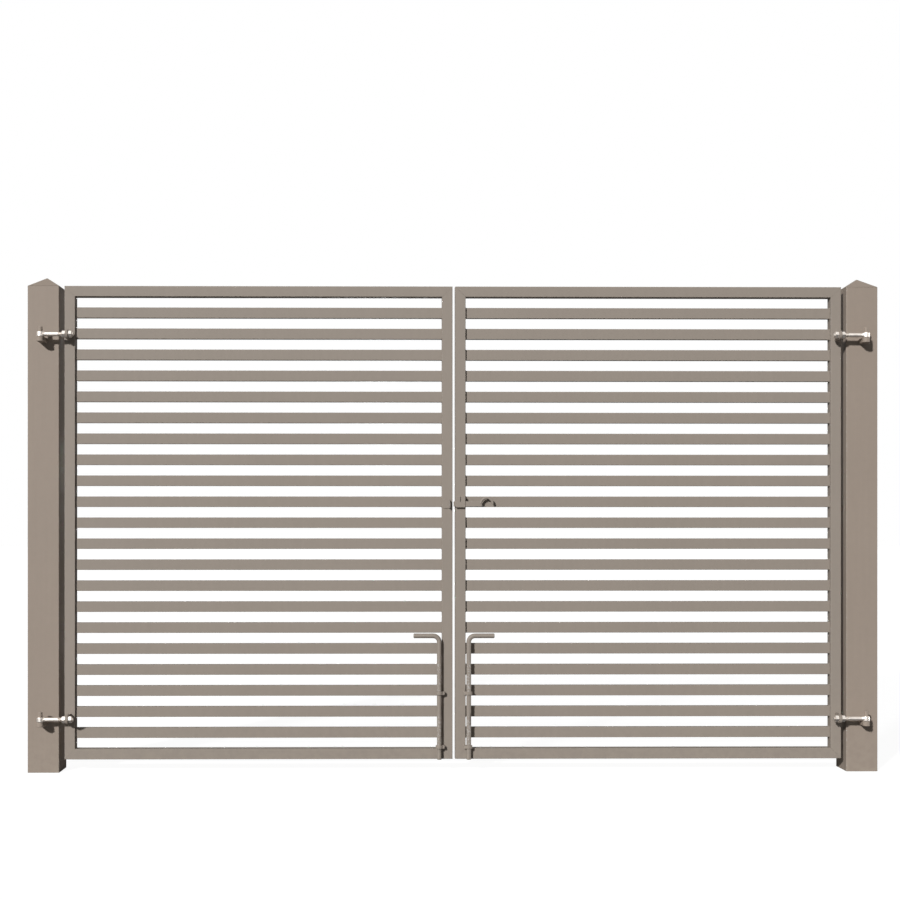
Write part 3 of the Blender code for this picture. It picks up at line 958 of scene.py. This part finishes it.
def build_latch_housing(paint, welds):
    """A low block on the right meeting stile, slotted for the latch bar and slit down from the top."""
    x = leaf_box("right")[0].x + TUBE / 2
    half_width = HOUSING_WIDTH / 2
    height = HOUSING_HIGH - HOUSING_LOW
    half_depth = (HOUSING_REACH + SEAM) / 2
    foot = Vector((x, FRONT_Y + SEAM - half_depth, HOUSING_LOW))
    shape = Shape()
    add_tube(shape, foot, Z_AXIS, height, X_AXIS, half_width, half_depth, LATCH_CORNER,
             edge=LATCH_CORNER, end_wear_and_shade=0.3)
    shape.carve(latch_section(x - TUBE, x + TUBE, GAP))
    slit = Shape()
    start = Vector((x, FRONT_Y - 2 * HOUSING_REACH, HOUSING_HIGH))
    depth = HOUSING_REACH + SLIT_DEPTH
    add_tube(slit, start, Y_AXIS, depth, Z_AXIS, height / 2, HOUSING_SLIT / 2, HOUSING_SLIT / 4)
    shape.carve(slit)
    finish_piece(shape, "latch_housing", paint, "right_leaf", "right_leaf_frame")
    for z, normal in ((HOUSING_LOW, -Z_AXIS), (HOUSING_HIGH, Z_AXIS)):
        start = Vector((x - half_width + SEAM, FRONT_Y, z))
        add_bead(welds, start, Vector((x + half_width - SEAM, FRONT_Y, z)), normal, -Y_AXIS)


def build_latch_bolt(paint):
    """The flat sliding bar with its bowed grip of round bar."""
    low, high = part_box("latch_bolt")
    y = (low.y + high.y) / 2
    z = low.z + BAR_HEIGHT / 2
    bar_end = high.x - 2 * GRIP_BOW
    shape = latch_section(low.x, bar_end)
    foot = bar_end - GRIP_RADIUS
    top = z + GRIP_BOW
    far = foot + 2 * GRIP_BOW
    grip = Path([(foot, y, z), (foot, y, top), (far, y, top), (far, y, z)], GRIP_BOW)
    grip_end = rounded_ends(GRIP_RADIUS, grip.length, LATCH_EDGE)
    grip_section = round_section(lambda distance, angle: (grip_end(distance), 0.3), GRIP_SIDES)
    add_sweep(shape, grip, bar_distances(grip.length, LATCH_EDGE, GRIP_STEP), grip_section, Y_AXIS)
    finish_piece(shape, "latch_bolt_bar", paint, "latch_bolt", "latch_bolt")


def build_latch_keeper(paint, welds):
    """An angle welded to the left meeting stile, with a slot in its forward leg for the latch bar."""
    low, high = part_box("latch_keeper")
    half_height = (high.z - low.z) / 2
    half_wall = KEEPER_WALL / 2
    middle_z = (low.z + high.z) / 2
    angle = Shape()
    front = Vector((high.x - half_wall, low.y, middle_z))
    depth = FRONT_Y - low.y
    add_tube(angle, front, Y_AXIS, depth, Z_AXIS, half_height, half_wall, LATCH_CORNER, end_wear_and_shade=0.5)
    angle.carve(latch_section(low.x, high.x + TUBE, KEEPER_CLEARANCE))
    base = Vector((low.x, FRONT_Y - half_wall, middle_z))
    width = high.x - low.x - half_wall
    add_tube(angle, base, X_AXIS, width, Z_AXIS, half_height, half_wall, LATCH_CORNER, end_wear_and_shade=0.5)
    finish_piece(angle, "latch_keeper_angle", paint, "left_leaf", "latch_keeper")
    for z, normal in ((low.z, -Z_AXIS), (high.z, Z_AXIS)):
        start = Vector((low.x + SEAM, FRONT_Y, z))
        add_bead(welds, start, Vector((high.x - SEAM, FRONT_Y, z)), normal, -Y_AXIS)


# Floor, light and camera.


def build_floor():
    """A large pale floor that stays bright in view and returns a moderate bounce light to the gate."""
    shape = Shape()
    reach = FLOOR_REACH
    corners = ((-reach, -reach), (reach, -reach), (reach, reach), (-reach, reach))
    shape.bm.faces.new(shape.ring([(Vector((x, y, -SEAM)), 0.0) for x, y in corners]))
    floor = shape.to_object("floor")
    material = bpy.data.materials.new("floor_paint")
    material.use_nodes = True
    nodes = material.node_tree.nodes
    links = material.node_tree.links
    nodes.clear()
    ray = nodes.new("ShaderNodeLightPath")
    glow = nodes.new("ShaderNodeEmission")
    glow.inputs["Strength"].default_value = FLOOR_GLOW
    matt = nodes.new("ShaderNodeBsdfDiffuse")
    matt.inputs["Color"].default_value = (FLOOR_TONE, FLOOR_TONE, FLOOR_TONE, 1.0)
    seen = nodes.new("ShaderNodeAddShader")
    links.new(glow.outputs["Emission"], seen.inputs[0])
    links.new(matt.outputs["BSDF"], seen.inputs[1])
    shade_of_bounce = nodes.new("ShaderNodeMath")
    shade_of_bounce.operation = "MULTIPLY_ADD"
    links.new(ray.outputs["Is Glossy Ray"], shade_of_bounce.inputs[0])
    shade_of_bounce.inputs[1].default_value = MIRRORED_TONE - BOUNCE_TONE
    shade_of_bounce.inputs[2].default_value = BOUNCE_TONE
    bounce = nodes.new("ShaderNodeBsdfDiffuse")
    links.new(shade_of_bounce.outputs["Value"], bounce.inputs["Color"])
    choice = nodes.new("ShaderNodeMixShader")
    links.new(ray.outputs["Is Camera Ray"], choice.inputs["Fac"])
    links.new(bounce.outputs["BSDF"], choice.inputs[1])
    links.new(seen.outputs["Shader"], choice.inputs[2])
    output = nodes.new("ShaderNodeOutputMaterial")
    links.new(choice.outputs["Shader"], output.inputs["Surface"])
    floor.data.materials.append(material)


def build_world():
    """White behind the gate, with a weaker even light on it and something bright for metal to mirror."""
    world = bpy.data.worlds.new("studio")
    world.use_nodes = True
    nodes = world.node_tree.nodes
    links = world.node_tree.links
    nodes.clear()
    ray = nodes.new("ShaderNodeLightPath")
    backdrop = nodes.new("ShaderNodeBackground")
    backdrop.inputs["Strength"].default_value = 1.0
    backdrop.inputs["Color"].default_value = (1.0, 1.0, 1.0, 1.0)
    ambient = nodes.new("ShaderNodeBackground")
    ambient.inputs["Strength"].default_value = AMBIENT
    ambient.inputs["Color"].default_value = (0.97, 0.98, 1.0, 1.0)
    mirrored = nodes.new("ShaderNodeBackground")
    mirrored.inputs["Strength"].default_value = MIRRORED
    lit = nodes.new("ShaderNodeMixShader")
    links.new(ray.outputs["Is Glossy Ray"], lit.inputs["Fac"])
    links.new(ambient.outputs["Background"], lit.inputs[1])
    links.new(mirrored.outputs["Background"], lit.inputs[2])
    choice = nodes.new("ShaderNodeMixShader")
    links.new(ray.outputs["Is Camera Ray"], choice.inputs["Fac"])
    links.new(lit.outputs["Shader"], choice.inputs[1])
    links.new(backdrop.outputs["Background"], choice.inputs[2])
    output = nodes.new("ShaderNodeOutputWorld")
    links.new(choice.outputs["Shader"], output.inputs["Surface"])
    bpy.context.scene.world = world


def add_sun(name, travel, strength, softness):
    """A distant light whose rays travel along the given direction."""
    light = bpy.data.lights.new(name, "SUN")
    light.energy = strength
    light.angle = math.radians(softness)
    lamp = bpy.data.objects.new(name, light)
    lamp.rotation_euler = Vector(travel).to_track_quat("-Z", "Y").to_euler()
    bpy.context.scene.collection.objects.link(lamp)


def build_camera():
    """Level with the middle of the posts, slightly left of the gate's middle, with parallel uprights."""
    camera = bpy.data.cameras.new("camera")
    camera.sensor_width = SENSOR_WIDTH
    camera.lens = LENS
    camera.shift_x, camera.shift_y = LENS_SHIFT
    viewer = bpy.data.objects.new("camera", camera)
    viewer.location = (CAMERA_X, FRONT_Y - CAMERA_DISTANCE, CAMERA_HEIGHT)
    viewer.rotation_euler = (math.radians(90), 0.0, math.radians(CAMERA_TURN))
    bpy.context.scene.collection.objects.link(viewer)
    bpy.context.scene.camera = viewer


def build_studio():
    build_camera()
    build_floor()
    build_world()
    add_sun("key_light", (0.58, 1.0, -0.53), 4.0, 4.0)
    add_sun("back_light", (0.0, -1.0, 0.0), 2.2, 0.3)
    add_sun("side_light", (-1.0, 0.0, 0.0), 1.4, 0.3)
    bpy.context.scene.view_settings.view_transform = "Standard"


def build_gate():
    worn_paint = (0.4, 0.375, 0.345)
    post_paint = powder_coat("post_paint", (0.266, 0.218, 0.179), 0.62, worn_paint)
    leaf_paint = powder_coat("leaf_paint", (0.251, 0.215, 0.182), 0.62, worn_paint)
    bolt_paint = powder_coat("bolt_paint", (0.247, 0.212, 0.18), 0.56, (0.5, 0.49, 0.48))
    zinc = zinc_plate("zinc", (0.93, 0.865, 0.8))
    for prefix, side in SIDES.items():
        welds = Shape()
        build_post(prefix, post_paint)
        build_cap(prefix, post_paint)
        build_leaf_tubes(prefix, side, leaf_paint)
        build_slats(prefix, leaf_paint)
        build_lugs(prefix, side, leaf_paint, welds)
        build_guides(prefix, side, leaf_paint, welds)
        for level in LEVELS:
            build_pin(prefix, level, post_paint)
            build_eye(prefix, side, level, zinc)
        build_drop_bolt(prefix, side, bolt_paint)
        if side < 0:
            build_latch_keeper(bolt_paint, welds)
        else:
            build_latch_housing(leaf_paint, welds)
            build_latch_bolt(bolt_paint)
        finish_piece(welds, f"{prefix}_leaf_welds", leaf_paint, f"{prefix}_leaf", f"{prefix}_leaf_frame")


build_studio()
build_gate()
